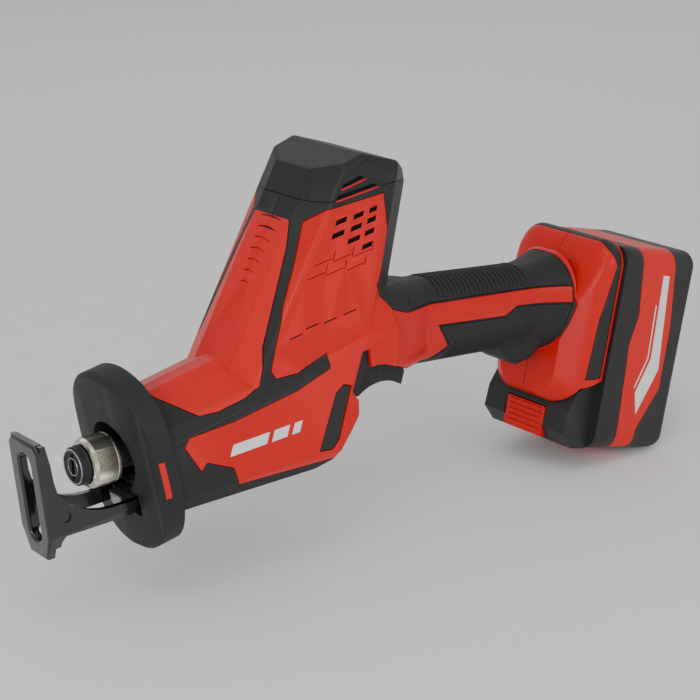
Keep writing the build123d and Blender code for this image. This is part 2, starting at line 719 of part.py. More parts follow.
GEARCASE_NOSE_R = 12.6
GEARCASE_NOSE_X = 46.0
FRONT_BUSH = (50.0, 62.0)
REAR_BUSH = (80.0, 92.0)
BUSH_R = 10.0
CHAMBER = (GEAR_X - CRANK_R - YOKE_HALF_X - 0.8, GEAR_X + CRANK_R + YOKE_HALF_X + 0.8)
GEAR_TIP_R = MODULE * GEAR_TEETH / 2 + MODULE
CASE_R = GEAR_TIP_R + 3.0

with BuildPart() as gearcase:
    # Nose and plunger tube, yoke chamber, round gear chamber
    add(ring(GEARCASE_NOSE_R, 0, 18, ALONG.offset(GEARCASE_NOSE_X)))
    add(gearcase_rear(0))
    add(ring(CASE_R, 0, CASE_TOP - CASE_FLOOR, upright(GEAR_X, CASE_FLOOR)))
    # Room for the plunger and its bushings
    add(ring(PLUNGER_R + 0.6, 0, 60, ALONG.offset(GEARCASE_NOSE_X - 1)), mode=Mode.SUBTRACT)
    add(ring(BUSH_R, 0, FRONT_BUSH[1] - FRONT_BUSH[0], ALONG.offset(FRONT_BUSH[0])), mode=Mode.SUBTRACT)
    add(ring(BUSH_R, 0, REAR_BUSH[1] - REAR_BUSH[0], ALONG.offset(REAR_BUSH[0])), mode=Mode.SUBTRACT)
    # Yoke chamber
    add(prism([(CHAMBER[0], -7.6), (CHAMBER[1], -7.6), (CHAMBER[1], 13), (CHAMBER[0], 13)], 17.8),
        mode=Mode.SUBTRACT)
    # Gear and pinion chambers, open at the top
    add(ring(GEAR_TIP_R + 0.6, 0, CASE_TOP, upright(GEAR_X, GEAR_Z - 0.8)),
        mode=Mode.SUBTRACT)
    add(ring(7.0, 0, CASE_TOP, upright(MOTOR_X, GEAR_Z - 1.6)), mode=Mode.SUBTRACT)
save(gearcase, "gearcase")

# Bracket under the gearcase nose that holds the shoe's pivot pin
BRACKET_SIDE = [
    (PIVOT_X - 4.2, PIVOT_Z - 0.5), (PIVOT_X - 2.4, PIVOT_Z - 3.2), (PIVOT_X + 3.2, PIVOT_Z - 3.2),
    (PIVOT_X + 5.5, PIVOT_Z + 4.4), (55, PIVOT_Z + 4.4), (55, -11), (GEARCASE_NOSE_X, -11),
    (GEARCASE_NOSE_X, PIVOT_Z + 7.0), (PIVOT_X - 2.0, PIVOT_Z + 7.0), (PIVOT_X - 2.0, PIVOT_Z + 5.0),
    (PIVOT_X - 4.2, PIVOT_Z + 5.0),
]
with BuildPart() as bracket:
    add(prism(BRACKET_SIDE, 8.6))
    add(ring(GEARCASE_NOSE_R, 0, 60, ALONG.offset(20)), mode=Mode.SUBTRACT)
    add(ring(SHOE_PIN_R, 0, 60, crosswise(PIVOT_X, PIVOT_Z, -30)), mode=Mode.SUBTRACT)
save(bracket, "shoe_bracket")

COVER_TOP = 27.0
AXLE_R = 4.0
SHAFT_R = 2.5
BEARING_R = 6.5
with BuildPart() as cover:
    add(ring(CASE_R, 0, COVER_TOP - CASE_TOP, upright(GEAR_X, CASE_TOP)))
    add(ring(15.0, 0, COVER_TOP - CASE_TOP, upright(MOTOR_X, CASE_TOP)))
    add(ring(BEARING_R, 0, 10, upright(MOTOR_X, CASE_TOP - 1)), mode=Mode.SUBTRACT)
    add(ring(AXLE_R, 0, 10, upright(GEAR_X, CASE_TOP - 1)), mode=Mode.SUBTRACT)
save(cover, "gearcase_cover")

with BuildPart() as bushings:
    for start, end in (FRONT_BUSH, REAR_BUSH):
        add(ring(BUSH_R, PLUNGER_R + RUNNING, end - start, ALONG.offset(start)))
save(bushings, "plunger_bushings")

with BuildPart() as seal:
    add(ring(GEARCASE_NOSE_R, PLUNGER_R + RUNNING, 4.0, ALONG.offset(GEARCASE_NOSE_X - 4)))
save(seal, "plunger_seal")

# ---------------------------------------------------------------------------
# Reduction gears with involute teeth
# ---------------------------------------------------------------------------

PRESSURE_ANGLE = 20.0
TOOTH_GAP = 0.07                 # each flank is thinned by this much


def involute_point(base_r, r, start):
    """A point on an involute flank, at a radius, turned by a start angle."""
    roll = max((r / base_r) ** 2 - 1, 0) ** 0.5
    angle = start + roll - atan2(roll, 1)
    return (r * cos(angle), r * sin(angle))


def tooth_outline(teeth, root_r, tip_r):
    """The outline of one tooth, centred on the local X axis."""
    pitch_r = MODULE * teeth / 2
    base_r = pitch_r * cos(radians(PRESSURE_ANGLE))
    half_angle = pi / (2 * teeth) - TOOTH_GAP / pitch_r
    inv = tan(radians(PRESSURE_ANGLE)) - radians(PRESSURE_ANGLE)
    start = -(half_angle + inv)
    low = max(base_r, root_r)
    radii = [low + (tip_r - low) * step / 4 for step in range(5)]
    lower = [involute_point(base_r, r, start) for r in radii]
    upper = [(x, -y) for x, y in reversed(lower)]
    foot = [(root_r * 0.97 * cos(start), root_r * 0.97 * sin(start))]
    return foot + lower + upper + [(foot[0][0], -foot[0][1])]


def spur_gear(teeth, width, plane, turn):
    """A spur gear blank with involute teeth, standing on a plane."""
    pitch_r = MODULE * teeth / 2
    root_r = pitch_r - 1.2 * MODULE
    tip_r = pitch_r + 0.95 * MODULE
    with BuildPart() as gear:
        with BuildSketch(plane):
            Circle(root_r)
            with PolarLocations(0, teeth, start_angle=turn):
                with BuildLine():
                    Polyline(*tooth_outline(teeth, root_r, tip_r), close=True)
                make_face()
        extrude(amount=width)
    return gear.part


gear_plane = upright(GEAR_X, GEAR_Z)
pinion_plane = upright(MOTOR_X, GEAR_Z - 0.6)

# A tooth of the gear points at the pinion, and a gap of the pinion meets it.
with BuildPart() as crank_gear:
    add(spur_gear(GEAR_TEETH, GEAR_WIDTH, gear_plane, 0))
    add(ring(8.0, 0, 3.0, gear_plane.offset(GEAR_WIDTH)))
    add(ring(AXLE_R + RUNNING, 0, 12, gear_plane.offset(2.0)), mode=Mode.SUBTRACT)
    # Lightening holes opposite the crank pin balance it
    with BuildSketch(gear_plane.offset(-1)):
        with Locations((-6, -14), (6, -14), (0, -16.5)):
            Circle(2.4)
    extrude(amount=20, mode=Mode.SUBTRACT)
    # Crank pin, stopped just above the yoke
    pin_length = GEAR_Z - YOKE_TOP - 0.4
    pin_base = gear_plane.offset(-pin_length).move(Location((0, CRANK_R, 0)))
    add(ring(CRANK_PIN_R, 0, pin_length, pin_base))
save(crank_gear, "crank_gear")

with BuildPart() as gear_axle:
    add(ring(AXLE_R, 0, COVER_TOP + 1.5 - GEAR_Z - 2.4, gear_plane.offset(2.4)))
save(gear_axle, "gear_axle")

# ---------------------------------------------------------------------------
# Motor, standing in the tower
# ---------------------------------------------------------------------------

MOTOR_TOP = MOTOR_Z + MOTOR_LENGTH
CAN_WALL = 1.5

with BuildPart() as pinion:
    half_tooth = 180 / PINION_TEETH
    add(spur_gear(PINION_TEETH, GEAR_WIDTH + 1.2, pinion_plane, 180 + half_tooth))
    add(ring(SHAFT_R - 0.6, 0, 40, pinion_plane.offset(-1)), mode=Mode.SUBTRACT)
save(pinion, "motor_pinion")

with BuildPart() as motor_shaft:
    add(ring(SHAFT_R - 0.6, 0, GEAR_WIDTH + 1.2, pinion_plane))
    add(ring(SHAFT_R, 0, MOTOR_TOP + 7 - (GEAR_Z + GEAR_WIDTH + 0.6), upright(MOTOR_X, GEAR_Z + GEAR_WIDTH + 0.6)))
save(motor_shaft, "motor_shaft")

with BuildPart() as bearings:
    add(ring(BEARING_R, SHAFT_R + RUNNING, 3.0, upright(MOTOR_X, CASE_TOP)))
    add(ring(5.0, SHAFT_R + RUNNING, 4.0, upright(MOTOR_X, MOTOR_TOP + 2)))
save(bearings, "motor_bearings")

with BuildPart() as motor_can:
    add(ring(MOTOR_R, MOTOR_R - CAN_WALL, MOTOR_LENGTH, upright(MOTOR_X, MOTOR_Z)))
    add(ring(MOTOR_R - 0.5, SHAFT_R + 1.5, CAN_WALL, upright(MOTOR_X, MOTOR_Z)))
    with BuildSketch(upright(MOTOR_X, MOTOR_Z - 1)):
        with PolarLocations(11.5, 6):
            Circle(2.2)
    extrude(amount=4, mode=Mode.SUBTRACT)
save(motor_can, "motor_can")

with BuildPart() as magnets:
    add(ring(MOTOR_R - CAN_WALL, MOTOR_R - CAN_WALL - 2.4, 30, upright(MOTOR_X, MOTOR_Z + 8)))
    with BuildSketch(upright(MOTOR_X, MOTOR_Z)):
        Rectangle(7, 60)
    extrude(amount=60, mode=Mode.SUBTRACT)
save(magnets, "motor_magnets")

with BuildPart() as end_cap:
    add(ring(MOTOR_R, SHAFT_R + 1.5, 8, upright(MOTOR_X, MOTOR_TOP)))
    add(ring(5.0, 0, 4, upright(MOTOR_X, MOTOR_TOP + 2)), mode=Mode.SUBTRACT)
    with BuildSketch(upright(MOTOR_X, MOTOR_TOP - 1)):
        with Locations((-10.6, 0), (10.6, 0)):
            Rectangle(8.8, 5)
    extrude(amount=5, mode=Mode.SUBTRACT)
save(end_cap, "motor_end_cap")

with BuildPart() as brushes:
    with BuildSketch(upright(MOTOR_X, MOTOR_TOP - 8)):
        with Locations((-10.2, 0), (10.2, 0)):
            Rectangle(7.6, 4.6)
    extrude(amount=11)
save(brushes, "carbon_brushes")

with BuildPart() as rotor:
    add(ring(14.2, SHAFT_R, 28, upright(MOTOR_X, MOTOR_Z + 9)))
    with BuildSketch(upright(MOTOR_X, MOTOR_Z)):
        with PolarLocations(13.0, 10):
            Rectangle(4.4, 1.8)
    extrude(amount=60, mode=Mode.SUBTRACT)
save(rotor, "rotor_core")

with BuildPart() as commutator:
    add(ring(6.3, SHAFT_R, 9, upright(MOTOR_X, MOTOR_TOP - 9)))
save(commutator, "commutator")

FAN_Z = COVER_TOP + 1.2
with BuildPart() as fan:
    add(ring(16.5, SHAFT_R, 1.2, upright(MOTOR_X, FAN_Z + 3.4)))
    add(ring(5.0, SHAFT_R, 4.6, upright(MOTOR_X, FAN_Z)))
    with BuildSketch(upright(MOTOR_X, FAN_Z)):
        with PolarLocations(10.2, 9):
            Rectangle(11.2, 1.2)
    extrude(amount=3.6)
save(fan, "cooling_fan")

# ---------------------------------------------------------------------------
# Trigger, switch, lock-off bar and electronics
# ---------------------------------------------------------------------------

TRIGGER_X, TRIGGER_Z = TRIGGER_PIVOT
TRIGGER_PIN_R = 1.5
across_pivot = crosswise(TRIGGER_X, TRIGGER_Z, -13.5)

with BuildPart() as trigger:
    with BuildSketch(Plane.XZ):
        with BuildLine():
            ThreePointArc((158.4, -1.8), (172, 2.8), (186.3, -1.8))
            Polyline((186.3, -1.8), (188.6, 4.8), (186, 14.5), (173, 19.6), (160.5, 19.8), (156.6, 15.5),
                     (156.6, 2), (158.4, -1.8))
        make_face()
    extrude(amount=TRIGGER_HALF, both=True)
    fillet(trigger.edges().filter_by(lambda edge: edge.center().Z < 0.9 and abs(edge.center().Y) > 5),
           radius=1.2)
    add(ring(TRIGGER_PIN_R + RUNNING, 0, 40, across_pivot.offset(-5)), mode=Mode.SUBTRACT)
save(trigger, "trigger")

with BuildPart() as trigger_pin:
    add(ring(TRIGGER_PIN_R, 0, 27, across_pivot))
save(trigger_pin, "trigger_pin")

with BuildPart() as switch_body:
    add(prism([(165, 26), (201, 26), (201, 41), (165, 41)], 8))
    fillet(switch_body.edges().filter_by(Axis.Y), radius=1.5)
    for offset_x in (171, 179):
        add(prism([(offset_x, 41), (offset_x + 4, 41), (offset_x + 4, 44), (offset_x, 44)], 1.0))
save(switch_body, "switch_body")

PAD_OUTER = BODY_HALF - 0.2
PAD_INNER = BODY_HALF - 1.9
with BuildPart() as lock_bar:
    add(ring(LOCK_BAR_R, 0, 2 * PAD_INNER, crosswise(LOCK_X, LOCK_Z, -PAD_INNER)))
    for side in (-1, 1):
        add(side_prism(LOCK_PAD, PAD_INNER, PAD_OUTER, side, grow=-0.1))
save(lock_bar, "lock_off_bar")

with BuildPart() as control_board:
    add(prism([(212, 20.5), (252, 20.5), (252, 22.1), (212, 22.1)], 11))
    for start in (215, 225, 235):
        add(prism([(start, 22.1), (start + 6, 22.1), (start + 6, 26.5), (start, 26.5)], 8))
    add(ring(4.0, 0, 9, upright(246.5, 22.1)))
save(control_board, "control_board")

# ---------------------------------------------------------------------------
# Battery interface on the tool
# ---------------------------------------------------------------------------

RAIL_PLATE = (-1.6, -PACK_TRAVEL_GAP)
with BuildPart() as rail_plate:
    with BuildSketch(PACK_PLANE.offset(RAIL_PLATE[0])):
        with Locations((0, -4)):
            RectangleRounded(71.4, 91.2, 13)
    extrude(amount=RAIL_PLATE[1] - RAIL_PLATE[0])
    add(pack_box(40.6, (-5, 5), (-80, 25.5)), mode=Mode.SUBTRACT)
    add(prism(pack_side(CHEEK_CUT), 60), mode=Mode.SUBTRACT)
save(rail_plate, "rail_plate")

with BuildPart() as terminals:
    add(pack_box(30, (-9, -2), (28, 35)))
    for blade_y in (-11, 0, 11):
        blade = pack_box(0.8, (-6.4, -3.8), (18.5, 28))
        blade.position += (0, blade_y, 0)
        add(blade)
save(terminals, "tool_terminals")

# ---------------------------------------------------------------------------
# Battery pack
# ---------------------------------------------------------------------------

PACK_WALL = 2.2
CHIN = [(PACK_TRAVEL_GAP, -34.5), (-12.6, -40.6), (-17.6, -52), (-18.4, -64), (-10, PACK_BOTTOM),
        (PACK_TRAVEL_GAP, PACK_BOTTOM)]
BAND = [(13, 60), (13, 32), (17, 4), (13.5, -13), (15, -30), (17, -60), (16, -90), (31, -90), (31.5, -60),
        (44.5, -37), (44, -2), (38.5, 34), (38, 60)]
PACK_FRONT = [(-60, 60), (-60, -90)] + list(reversed(BAND[:7]))
PACK_REAR = [(90, -90), (90, 60)] + list(reversed(BAND[7:]))


def pack_core(inset):
    """The battery's main block."""
    width = 2 * (PACK_HALF - inset)
    height = PACK_TOP - PACK_BOTTOM - 2 * inset
    with BuildPart() as core:
        with BuildSketch(PACK_PLANE.offset(PACK_TRAVEL_GAP + inset)):
            with Locations((0, (PACK_TOP + PACK_BOTTOM) / 2)):
                RectangleRounded(width, height, 9 - inset)
        extrude(amount=PACK_DEPTH - PACK_TRAVEL_GAP - 2 * inset)
        rear = core.faces().sort_by(Axis(PACK_PLANE.origin, PACK_NORMAL))[-1]
        if not inset:
            fillet(rear.edges(), radius=4.5)
    return core.part


with BuildPart() as pack_form:
    add(pack_core(0))
    # Chin under the tool's base, narrowed towards its front
    add(prism(pack_side(CHIN), 31.5))
    # Rail block with side lips that run behind the tool's rail plate
    add(pack_box(39.4, (-2.2, PACK_TRAVEL_GAP), (-50, 24.5)))
    add(pack_box(45.6, (-9, -2.2), (-50, 24.5)))
    add(pack_core(PACK_WALL), mode=Mode.SUBTRACT)
    add(pack_box(31.0, (-30, -11.5), (-70.5, -52.5)), mode=Mode.SUBTRACT)
    for blade_y in (-11, 0, 11):
        blade_slot = pack_box(2.2, (-7.2, -3.0), (17, 30))
        blade_slot.position += (0, blade_y, 0)
        add(blade_slot, mode=Mode.SUBTRACT)

for zone_name, zone_outline in (("pack_front_shell", PACK_FRONT), ("pack_band", BAND),
                                ("pack_rear_shell", PACK_REAR)):
    with BuildPart() as pack_piece:
        add(pack_form.part)
        add(prism(pack_side(zone_outline), 60, inset=0.12), mode=Mode.INTERSECT)
    save(pack_piece, zone_name)

CELL_R = 9.1
CELL_LENGTH = 65.0
with BuildPart() as cells:
    for column in (20.5, 40.0):
        for row in range(5):
            x, z = pack_side([(column, -54 + 19 * row)])[0]
            add(ring(CELL_R, 0, CELL_LENGTH, crosswise(x, z, -CELL_LENGTH / 2)))
save(cells, "battery_cells")

with BuildPart() as pack_board:
    add(pack_box(56, (5.0, 6.6), (-55, 30)))
    add(pack_box(30, (6.6, 9.4), (-8, 20)))
save(pack_board, "pack_board")

with BuildPart() as latch:
    add(pack_box(29.6, (-18.0, -14.6), (-69.8, -53.2)))
    for rib in range(5):
        low = -67.5 + 3.0 * rib
        add(pack_box(25, (-19.0, -18.0), (low, low + 1.3)))
save(latch, "pack_latch")

DECAL = [(30.5, 26.5), (35, 26.5), (40.5, -26), (29, -51), (25.5, -39), (33, -20)]
with BuildPart() as decals:
    add(side_prism(pack_side(DECAL), PACK_HALF, PACK_HALF + 0.25, -1))
    add(side_prism(pack_side(DECAL), PACK_HALF, PACK_HALF + 0.25, 1))
save(decals, "pack_decals")
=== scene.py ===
"""Looks, small details, light and camera for a reciprocating saw, built on its CAD frame."""
import json
from math import cos, pi, radians, sin, tan

import bpy
from mathutils import Matrix, Vector
from mathutils.bvhtree import BVHTree


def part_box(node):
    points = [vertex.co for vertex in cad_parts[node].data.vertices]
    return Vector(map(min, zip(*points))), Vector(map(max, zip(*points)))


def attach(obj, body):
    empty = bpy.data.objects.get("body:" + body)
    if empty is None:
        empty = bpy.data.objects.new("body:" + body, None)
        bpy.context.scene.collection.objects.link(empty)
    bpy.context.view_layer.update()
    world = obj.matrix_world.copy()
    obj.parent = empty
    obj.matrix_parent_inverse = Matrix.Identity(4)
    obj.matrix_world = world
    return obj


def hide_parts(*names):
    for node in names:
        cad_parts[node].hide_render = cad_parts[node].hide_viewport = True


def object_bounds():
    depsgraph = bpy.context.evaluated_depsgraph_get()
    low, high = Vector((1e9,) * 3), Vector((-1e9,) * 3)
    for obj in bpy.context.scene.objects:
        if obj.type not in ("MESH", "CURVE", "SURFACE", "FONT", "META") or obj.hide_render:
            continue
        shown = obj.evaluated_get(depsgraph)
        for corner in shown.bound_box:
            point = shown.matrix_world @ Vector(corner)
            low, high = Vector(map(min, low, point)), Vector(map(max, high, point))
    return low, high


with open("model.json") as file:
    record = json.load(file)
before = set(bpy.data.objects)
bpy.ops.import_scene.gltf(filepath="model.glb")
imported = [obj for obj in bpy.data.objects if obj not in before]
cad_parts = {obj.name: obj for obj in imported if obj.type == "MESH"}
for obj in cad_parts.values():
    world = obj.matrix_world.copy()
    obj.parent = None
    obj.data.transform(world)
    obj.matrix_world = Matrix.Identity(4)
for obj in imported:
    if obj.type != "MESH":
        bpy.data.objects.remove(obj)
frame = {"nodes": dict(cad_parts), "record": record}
cad_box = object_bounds()
nodes = frame["nodes"]
slot_of = {part["node"]: part["material_slot"] for part in frame["record"]["subparts"]}
MM = 0.001                        # details below are stated in millimetres


def mm(x, y, z):
    """A point stated in millimetres."""
    return Vector((x, y, z)) * MM


# ---------------------------------------------------------------------------
# Materials
# ---------------------------------------------------------------------------

def mix_color(tree, factor, low, high):
    """A colour mix between two plain colours, driven by a factor socket."""
    mix = tree.nodes.new("ShaderNodeMix")
    mix.data_type = "RGBA"
    mix.inputs["A"].default_value = (*low, 1)
    mix.inputs["B"].default_value = (*high, 1)
    tree.links.new(factor, mix.inputs["Factor"])
    return mix


def finish(name, color, rough, metal=0.0, spread=0.12, grain=60.0, relief=0.05, fine=1800.0, wear=0.0,
           coat=0.0, clear=0.0, shine=0.3):
    """A procedural finish: uneven colour and gloss, a fine surface texture and lighter worn edges."""
    material = bpy.data.materials.new(name)
    material.use_nodes = True
    tree = material.node_tree
    shader = tree.nodes["Principled BSDF"]
    place = tree.nodes.new("ShaderNodeTexCoord")
    broad = tree.nodes.new("ShaderNodeTexNoise")
    broad.inputs["Scale"].default_value = grain
    broad.inputs["Detail"].default_value = 5
    tree.links.new(place.outputs["Object"], broad.inputs["Vector"])
    dark = [channel * (1 - spread) for channel in color]
    light = [min(channel * (1 + spread) + 0.002, 1) for channel in color]
    body = mix_color(tree, broad.outputs["Fac"], dark, light)
    surface = body.outputs["Result"]
    if wear:
        geometry = tree.nodes.new("ShaderNodeNewGeometry")
        edges = tree.nodes.new("ShaderNodeMapRange")
        edges.inputs["From Min"].default_value = 0.53
        edges.inputs["From Max"].default_value = 0.62
        edges.inputs["To Max"].default_value = wear
        tree.links.new(geometry.outputs["Pointiness"], edges.inputs["Value"])
        worn = tree.nodes.new("ShaderNodeMix")
        worn.data_type = "RGBA"
        worn.inputs["B"].default_value = (*[min(channel * 1.6 + 0.03, 1) for channel in color], 1)
        tree.links.new(edges.outputs["Result"], worn.inputs["Factor"])
        tree.links.new(surface, worn.inputs["A"])
        surface = worn.outputs["Result"]
    tree.links.new(surface, shader.inputs["Base Color"])
    gloss = tree.nodes.new("ShaderNodeMapRange")
    gloss.inputs["To Min"].default_value = rough * 0.85
    gloss.inputs["To Max"].default_value = min(rough * 1.15, 1)
    tree.links.new(broad.outputs["Fac"], gloss.inputs["Value"])
    tree.links.new(gloss.outputs["Result"], shader.inputs["Roughness"])
    texture = tree.nodes.new("ShaderNodeTexNoise")
    texture.inputs["Scale"].default_value = fine
    texture.inputs["Detail"].default_value = 3
    tree.links.new(place.outputs["Object"], texture.inputs["Vector"])
    bump = tree.nodes.new("ShaderNodeBump")
    bump.inputs["Strength"].default_value = relief
    bump.inputs["Distance"].default_value = 0.0002
    tree.links.new(texture.outputs["Fac"], bump.inputs["Height"])
    tree.links.new(bump.outputs["Normal"], shader.inputs["Normal"])
    shader.inputs["Metallic"].default_value = metal
    shader.inputs["Specular IOR Level"].default_value = shine
    shader.inputs["Coat Weight"].default_value = coat
    shader.inputs["Coat Roughness"].default_value = 0.12
    shader.inputs["Transmission Weight"].default_value = clear
    return material


RED = (0.62, 0.006, 0.003)
finishes = {
    "red_shell": finish("red_shell", RED, 0.38, spread=0.05, relief=0.06, wear=0.2),
    "black_overmould": finish("black_overmould", (0.019, 0.0195, 0.020), 0.58, relief=0.35, wear=0.3),
    "dark_shell": finish("dark_shell", (0.022, 0.022, 0.023), 0.46, relief=0.3, wear=0.3),
    "inner_shell": finish("inner_shell", (0.02, 0.02, 0.022), 0.55, relief=0.2),
    "gloss_black": finish("gloss_black", (0.016, 0.016, 0.017), 0.48, relief=0.2, wear=0.2),
    "cast_black": finish("cast_black", (0.006, 0.006, 0.0065), 0.2, relief=0.1, wear=0.15, coat=0.45,
                         shine=0.5),
    "nickel": finish("nickel", (0.60, 0.57, 0.49), 0.27, metal=1.0, relief=0.1, wear=0.3),
    "steel": finish("steel", (0.50, 0.51, 0.53), 0.32, metal=1.0, relief=0.15),
    "die_cast": finish("die_cast", (0.45, 0.46, 0.48), 0.5, metal=0.9, relief=0.3),
    "bronze": finish("bronze", (0.45, 0.28, 0.12), 0.4, metal=1.0),
    "seal_rubber": finish("seal_rubber", (0.02, 0.02, 0.02), 0.7),
    "copper": finish("copper", (0.62, 0.27, 0.12), 0.3, metal=1.0),
    "magnet": finish("magnet", (0.09, 0.09, 0.1), 0.6, metal=0.4),
    "carbon": finish("carbon", (0.04, 0.04, 0.04), 0.7),
    "board": finish("board", (0.02, 0.14, 0.06), 0.4),
    "clear_lens": finish("clear_lens", (0.85, 0.88, 0.9), 0.08, clear=0.7, relief=0.0),
    "cell_wrap": finish("cell_wrap", (0.04, 0.16, 0.4), 0.3),
    "white_decal": finish("white_decal", (0.82, 0.82, 0.80), 0.4, spread=0.04, relief=0.03),
    "red_trigger": finish("red_trigger", RED, 0.4, spread=0.05, relief=0.1, wear=0.3),
}
# The record puts the trigger in the red slot, but the real lever is dark, so it is shown dark
SHOWN_AS = {"trigger": "dark_shell"}
# Painted shade: a near-black finish for the cut walls of the air slot, side vents, engraved tile lines and
# cap slots, standing in for the shadow inside these openings and grooves
painted_recess_shade = finish("painted_recess_shade", (0.008, 0.006, 0.006), 0.8)

for node_name, node in nodes.items():
    chosen = finishes[SHOWN_AS.get(node_name, slot_of[node_name])]
    node.data.materials.clear()
    node.data.materials.append(chosen)

# ---------------------------------------------------------------------------
# Soft edges on the moulded pieces
# ---------------------------------------------------------------------------

EDGE_ROUND = {
    "shoe": 1.1, "front_panel": 0.5, "side_panel_left": 0.5, "side_panel_right": 0.5, "tower_cap": 0.7,
    "overmould_left": 0.4, "overmould_right": 0.4, "base_panel_left": 0.4, "base_panel_right": 0.4,
    "base_trim": 0.4, "top_grip": 0.4, "lower_grip": 0.4, "front_guard": 0.5, "trigger": 0.8,
    "lock_off_bar": 0.3, "pack_latch": 0.3, "pack_front_shell": 0.5, "rail_plate": 0.2,
}


def weld(node):
    """Joins the mesh's split seams, so that later modifiers see one surface."""
    joined = node.modifiers.new("weld", "WELD")
    joined.merge_threshold = 0.002 * MM


def soften(node, width):
    """Rounds a piece's sharp edges."""
    edge = node.modifiers.new("edge", "BEVEL")
    edge.width = width * MM
    edge.segments = 3
    edge.limit_method = "ANGLE"
    edge.angle_limit = radians(28)
    edge.harden_normals = True


# ---------------------------------------------------------------------------
# Geometry helpers
# ---------------------------------------------------------------------------

def surface(*names):
    """A ray target made of several CAD nodes."""
    points, faces = [], []
    for name in names:
        start = len(points)
        mesh = nodes[name].data
        points += [vertex.co.copy() for vertex in mesh.vertices]
        faces += [[start + index for index in polygon.vertices] for polygon in mesh.polygons]
    return BVHTree.FromPolygons(points, faces)


def piece(name, points, faces, body, slot, material=None, smooth=False):
    """A new mesh that rides on a body."""
    mesh = bpy.data.meshes.new(name)
    mesh.from_pydata([tuple(point) for point in points], [], faces)
    mesh.validate()
    mesh.update()
    thing = bpy.data.objects.new(name, mesh)
    bpy.context.scene.collection.objects.link(thing)
    mesh.materials.append(material or finishes[slot])
    for polygon in mesh.polygons:
        polygon.use_smooth = smooth
    if body:
        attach(thing, body)
    return thing


class Shape:
    """Collects points and faces of several strips into one mesh."""

    def __init__(self):
        self.points = []
        self.faces = []

    def bead(self, path, normals, width, height, sink=0.25):
        """A rounded rib along a path, standing on the surface whose normals are given."""
        profile = [(-0.5, -sink), (-0.46, 0.45), (-0.26, 0.9), (0, 1.0), (0.26, 0.9), (0.46, 0.45),
                   (0.5, -sink)]
        start = len(self.points)
        count = len(path)
        for index, (point, normal) in enumerate(zip(path, normals)):
            before = path[max(index - 1, 0)]
            after = path[min(index + 1, count - 1)]
            along = (after - before).normalized()
            across = normal.cross(along).normalized()
            # The ends taper down into the surface
            rise = 0.15 if index in (0, count - 1) else 1.0
            for side, up in profile:
                lift = up * height * (rise if up > 0 else 1)
                self.points.append(point + across * side * width + normal * lift)
        per = len(profile)
        for index in range(count - 1):
            for step in range(per - 1):
                a = start + index * per + step
                self.faces.append((a, a + 1, a + per + 1, a + per))
            a = start + index * per
            self.faces.append((a + per - 1, a, a + per, a + 2 * per - 1))
        self.faces.append(tuple(start + step for step in reversed(range(per))))
        self.faces.append(tuple(start + (count - 1) * per + step for step in range(per)))

    def prism(self, outline, toward, depth):
        """A closed block: a flat outline pushed along a direction."""
        start = len(self.points)
        count = len(outline)
        centre = sum(outline, Vector()) / count
        turn = (outline[0] - centre).cross(outline[1] - centre).dot(toward)
        ordered = outline if turn < 0 else list(reversed(outline))
        self.points += ordered
        self.points += [point + toward * depth for point in ordered]
        self.faces.append(tuple(start + step for step in range(count)))
        self.faces.append(tuple(start + count + step for step in reversed(range(count))))
        for step in range(count):
            after = (step + 1) % count
            self.faces.append((start + step, start + count + step, start + count + after, start + after))


def project(target, point, direction):
    """Where a ray meets a surface: the point and its outward normal."""
    hit, normal, _, _ = target.ray_cast(point, direction)
    if hit is None:
        return None, None
    if normal.dot(direction) > 0:
        normal = -normal
    return hit, normal


def carve(node, shape, material, name):
    """Cuts a shape out of a node; the cut faces take the given material."""
    cutter = piece(name, shape.points, shape.faces, None, None, material)
    cutter.hide_render = True
    cutter.display_type = "WIRE"
    cut = node.modifiers.new(name, "BOOLEAN")
    cut.operation = "DIFFERENCE"
    cut.object = cutter
    cut.solver = "EXACT"
    cut.material_mode = "TRANSFER"


for node_name in EDGE_ROUND:
    weld(nodes[node_name])

# ---------------------------------------------------------------------------
# Front panel: air slot and louvres on the tower's leaning front face
# ---------------------------------------------------------------------------

FRONT_LEAN = radians(30.8)
face_out = Vector((-cos(FRONT_LEAN), 0, sin(FRONT_LEAN)))
face_up = Vector((sin(FRONT_LEAN), 0, cos(FRONT_LEAN)))
FACE_TOP = mm(122.3, 0, 104.8)


def on_face(across, down, lift=0.0):
    """A point on the tower's front face, measured from its top edge, in millimetres."""
    return FACE_TOP - face_up * down * MM + Vector((0, across, 0)) * MM + face_out * lift * MM


air_slot = Shape()
air_slot.prism([on_face(-9.0, 1.6, 2), on_face(9.6, 1.2, 2), on_face(10.2, 4.0, 2), on_face(-8.6, 4.6, 2)],
               -face_out, 4.2 * MM)
carve(nodes["front_panel"], air_slot, painted_recess_shade, "cutter_air_slot")

louvres = Shape()
LOUVRE_COUNT = 7
for index in range(LOUVRE_COUNT):
    down = 8.0 + 5.6 * index
    half = 8.2 - 0.75 * index
    outline = []
    for step in range(7):
        across = half * (step / 3 - 1)
        outline.append(on_face(across, down + 1.2 * (across / half) ** 2, 1))
    for step in reversed(range(7)):
        across = half * (step / 3 - 1)
        outline.append(on_face(across, down + 1.0 + 0.5 * (across / half) ** 2, 1))
    louvres.prism(outline, -face_out, 1.9 * MM)
carve(nodes["front_panel"], louvres, finishes["red_shell"], "cutter_louvres")

# ---------------------------------------------------------------------------
# Side panels: open vents, engraved tiles and dashes on both sides of the tower
# ---------------------------------------------------------------------------

PANEL_HALF = 29.7                 # half width of the tower
ROW_SLOPE = radians(9)            # the rows of vents climb towards the rear
COLUMN_LEAN = 0.29                # the columns lean with the tower's rear edge
# Each column: X of its front edge at the top row, width, Z of the rows
VENT_COLUMNS = [
    (154.0, 4.6, (99.0, 94.0, 88.2, 81.7)),
    (144.4, 6.0, (97.6, 91.9, 86.1)),
    (133.6, 6.6, (96.6, 90.4)),
]
VENT_HEIGHT = 2.5


